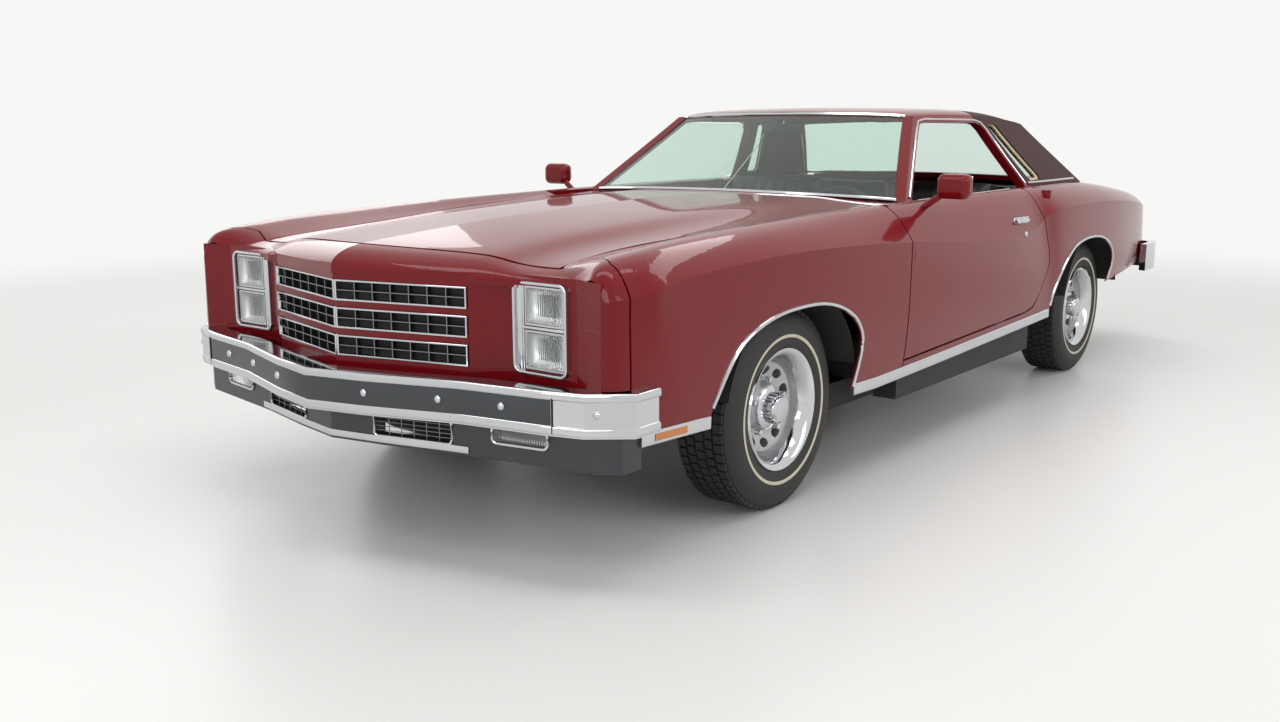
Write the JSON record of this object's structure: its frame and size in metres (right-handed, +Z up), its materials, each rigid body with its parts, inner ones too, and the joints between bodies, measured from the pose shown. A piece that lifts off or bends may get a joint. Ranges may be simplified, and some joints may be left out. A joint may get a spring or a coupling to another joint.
{
  "type": "hardtop coupe",
  "caption": "Two-door hardtop coupe with a long hood, landau vinyl rear roof, opera windows and opening doors, hood and deck lid.",
  "frame": {"origin": "on the ground, midway along the length and the width", "axes": "+Z up, the nose points along -Y, the driver side is +X"},
  "size_m": [2.138, 5.403, 1.339],
  "materials": {
    "body_paint": "glossy deep red paint",
    "landau_vinyl": "grained dark red vinyl",
    "clear_glass": "lightly tinted glass",
    "bumper_chrome": "bright chrome plate",
    "valance_grey": "dark grey painted steel",
    "grille_black": "black moulded grid",
    "lamp_glass": "clear ribbed lenses",
    "tail_red": "red lenses",
    "tub_paint": "black floor and inner panels",
    "chassis_black": "satin black",
    "engine_iron": "painted cast iron",
    "pipe_steel": "dull steel",
    "tyre_rubber": "black rubber with a thin pale stripe",
    "wheel_silver": "silver painted steel wheel",
    "seat_vinyl": "black pleated vinyl",
    "dash_black": "black padded vinyl"
  },
  "bodies": {
    "root": {"body_tub": "tub_paint", "cowl_panel": "body_paint", "dashboard": "dash_black", "driveline": "chassis_black", "engine": "engine_iron", "exhaust": "pipe_steel", "frame": "chassis_black", "front_bumper": "bumper_chrome", "front_fender_left": "body_paint", "front_fender_right": "body_paint", "front_lamps": "lamp_glass", "front_seats": "seat_vinyl", "front_suspension": "chassis_black", "front_valance": "valance_grey", "fuel_tank": "pipe_steel", "grille": "grille_black", "nose_panel": "body_paint", "quarter_panel_left": "body_paint", "quarter_panel_right": "body_paint", "rear_axle": "chassis_black", "rear_bumper": "bumper_chrome", "rear_deck_filler": "body_paint", "rear_seat": "seat_vinyl", "rocker_panels": "body_paint", "roof_panel": "body_paint", "steering_column": "dash_black", "tail_lamps": "tail_red", "tail_panel": "body_paint", "vinyl_roof": "landau_vinyl", "wheelhouses": "tub_paint", "window_glass": "clear_glass"},
    "front_left_wheel": {"tyre_front_left": "tyre_rubber", "wheel_front_left": "wheel_silver"},
    "front_right_wheel": {"tyre_front_right": "tyre_rubber", "wheel_front_right": "wheel_silver"},
    "rear_left_wheel": {"tyre_rear_left": "tyre_rubber", "wheel_rear_left": "wheel_silver"},
    "rear_right_wheel": {"tyre_rear_right": "tyre_rubber", "wheel_rear_right": "wheel_silver"},
    "left_knuckle": {"knuckle_left": "engine_iron"},
    "right_knuckle": {"knuckle_right": "engine_iron"},
    "left_door": {"door_left": "body_paint", "mirror_left": "body_paint"},
    "right_door": {"door_right": "body_paint", "mirror_right": "body_paint", "door_glass_right": "clear_glass"},
    "hood": {"hood": "body_paint"},
    "deck_lid": {"deck_lid": "body_paint"},
    "steering_wheel": {"steering_wheel": "dash_black"}
  },
  "joints": [
    {"name": "left_steer", "type": "hinge", "parent": "root", "child": "left_knuckle", "pos_m": [0.7, -1.4835, 0.338], "axis": [0, 0, 1], "range_deg": [-30, 30]},
    {"name": "right_steer", "type": "hinge", "parent": "root", "child": "right_knuckle", "pos_m": [-0.7, -1.4835, 0.338], "axis": [0, 0, 1], "range_deg": [-30, 30]},
    {"name": "steering_wheel_turn", "type": "hinge", "parent": "root", "child": "steering_wheel", "pos_m": [0.4, -0.19, 0.8], "axis": [0, 0.9398, 0.3417], "range_deg": [-450, 450]},
    {"name": "front_left_roll", "type": "hinge", "parent": "left_knuckle", "child": "front_left_wheel", "pos_m": [0.786, -1.4835, 0.338], "axis": [1, 0, 0], "continuous": true},
    {"name": "front_right_roll", "type": "hinge", "parent": "right_knuckle", "child": "front_right_wheel", "pos_m": [-0.786, -1.4835, 0.338], "axis": [1, 0, 0], "continuous": true},
    {"name": "rear_left_roll", "type": "hinge", "parent": "root", "child": "rear_left_wheel", "pos_m": [0.776, 1.4625, 0.338], "axis": [1, 0, 0], "continuous": true},
    {"name": "rear_right_roll", "type": "hinge", "parent": "root", "child": "rear_right_wheel", "pos_m": [-0.776, 1.4625, 0.338], "axis": [1, 0, 0], "continuous": true},
    {"name": "left_door_hinge", "type": "hinge", "parent": "root", "child": "left_door", "pos_m": [0.955, -0.69, 0.7], "axis": [0, 0, -1], "range_deg": [0, 62]},
    {"name": "right_door_hinge", "type": "hinge", "parent": "root", "child": "right_door", "pos_m": [-0.955, -0.69, 0.7], "axis": [0, 0, 1], "range_deg": [0, 62]},
    {"name": "hood_hinge", "type": "hinge", "parent": "root", "child": "hood", "pos_m": [0, -0.58, 0.975], "axis": [-1, 0, 0], "range_deg": [0, 50]},
    {"name": "deck_lid_hinge", "type": "hinge", "parent": "root", "child": "deck_lid", "pos_m": [0, 1.59, 0.992], "axis": [1, 0, 0], "range_deg": [0, 60]}
  ],
  "couplings": [
    {"joint": "right_steer", "follows": "left_steer", "ratio": 1},
    {"joint": "steering_wheel_turn", "follows": "left_steer", "ratio": 15}
  ]
}
